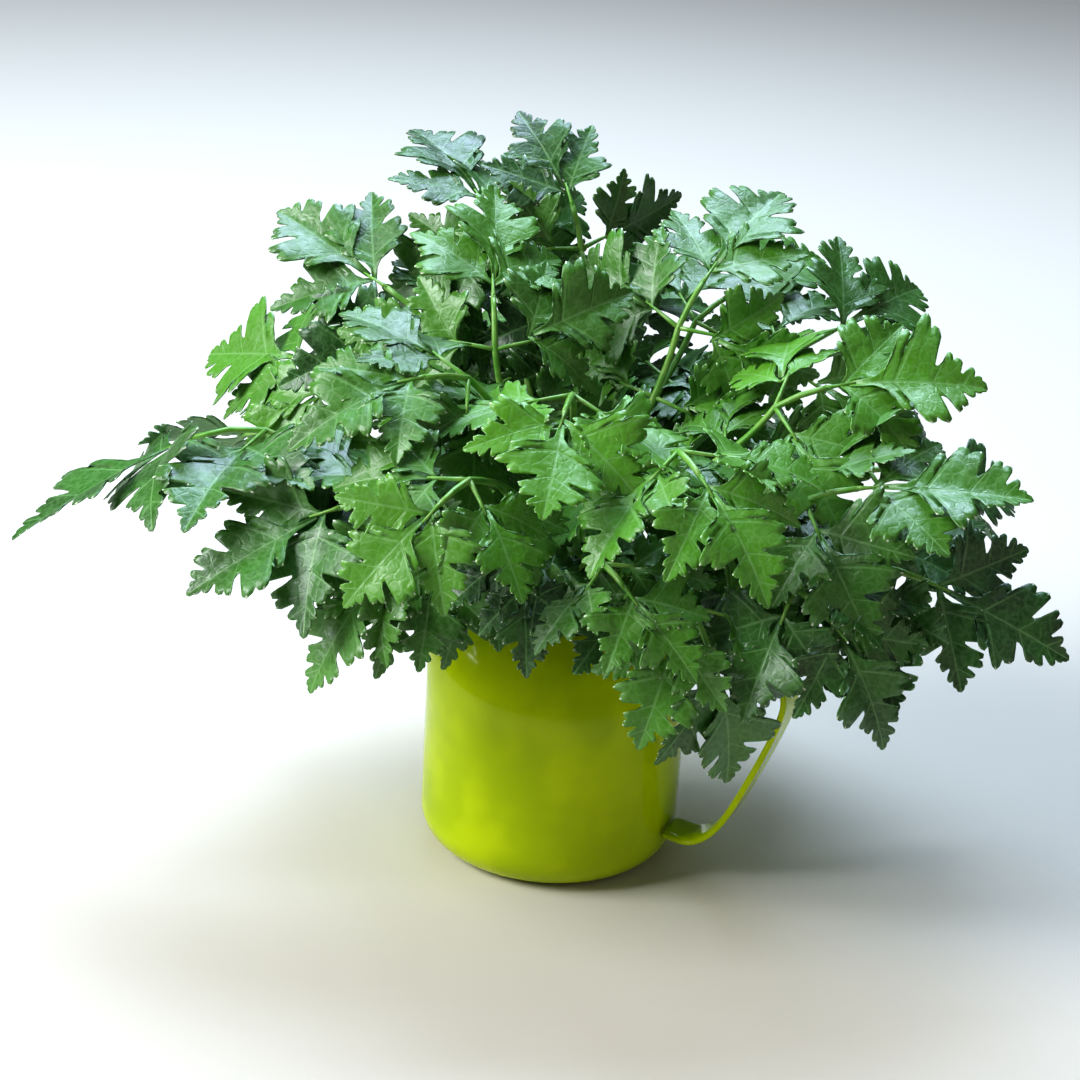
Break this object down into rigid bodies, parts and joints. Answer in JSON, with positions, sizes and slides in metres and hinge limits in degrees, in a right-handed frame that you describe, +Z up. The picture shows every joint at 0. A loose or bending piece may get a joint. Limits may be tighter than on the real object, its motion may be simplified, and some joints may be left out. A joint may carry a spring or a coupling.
{
  "type": "parsley bunch",
  "caption": "Bunch of flat-leaf parsley, its cut stems standing in a lime green enamel mug with a black rim and a strap handle.",
  "frame": {"origin": "centre of the mug's flat base, on the surface it stands on", "axes": "+Z up, +X from the mug's axis towards its handle"},
  "size_m": [0.3073, 0.2748, 0.2286],
  "materials": {
    "lime_enamel": "gloss",
    "black_enamel": "gloss",
    "stem": "satin",
    "leaf": "satin"
  },
  "bodies": {
    "root": {"mug_body": "lime_enamel", "mug_rim": "black_enamel", "mug_handle": "lime_enamel", "stem_far_left": "stem", "stem_left_upper": "stem", "stem_upper_left": "stem", "stem_top_left": "stem", "stem_top": "stem", "stem_top_right": "stem", "stem_right_top": "stem", "stem_right_back": "stem", "stem_right": "stem", "stem_right_middle": "stem", "stem_far_right": "stem", "stem_right_low": "stem", "stem_front_hanging": "stem", "stem_front": "stem", "stem_front_middle": "stem", "stem_left_front": "stem", "stem_left": "stem", "stem_centre_left": "stem", "stem_centre": "stem", "stem_centre_front": "stem", "stem_right_centre": "stem", "stem_crown": "stem", "stem_back_right": "stem", "stem_back_low_right": "stem", "stem_back": "stem", "stem_back_low_left": "stem", "stem_back_left": "stem", "stem_back_upper": "stem", "leaf_far_left": "leaf", "leaf_left_upper": "leaf", "leaf_upper_left": "leaf", "leaf_top_left": "leaf", "leaf_top": "leaf", "leaf_top_right": "leaf", "leaf_right_top": "leaf", "leaf_right_back": "leaf", "leaf_right": "leaf", "leaf_right_middle": "leaf", "leaf_far_right": "leaf", "leaf_right_low": "leaf", "leaf_front_hanging": "leaf", "leaf_front": "leaf", "leaf_front_middle": "leaf", "leaf_left_front": "leaf", "leaf_left": "leaf", "leaf_centre_left": "leaf", "leaf_centre": "leaf", "leaf_centre_front": "leaf", "leaf_right_centre": "leaf", "leaf_crown": "leaf", "leaf_back_right": "leaf", "leaf_back_low_right": "leaf", "leaf_back": "leaf", "leaf_back_low_left": "leaf", "leaf_back_left": "leaf", "leaf_back_upper": "leaf"}
  },
  "joints": []
}
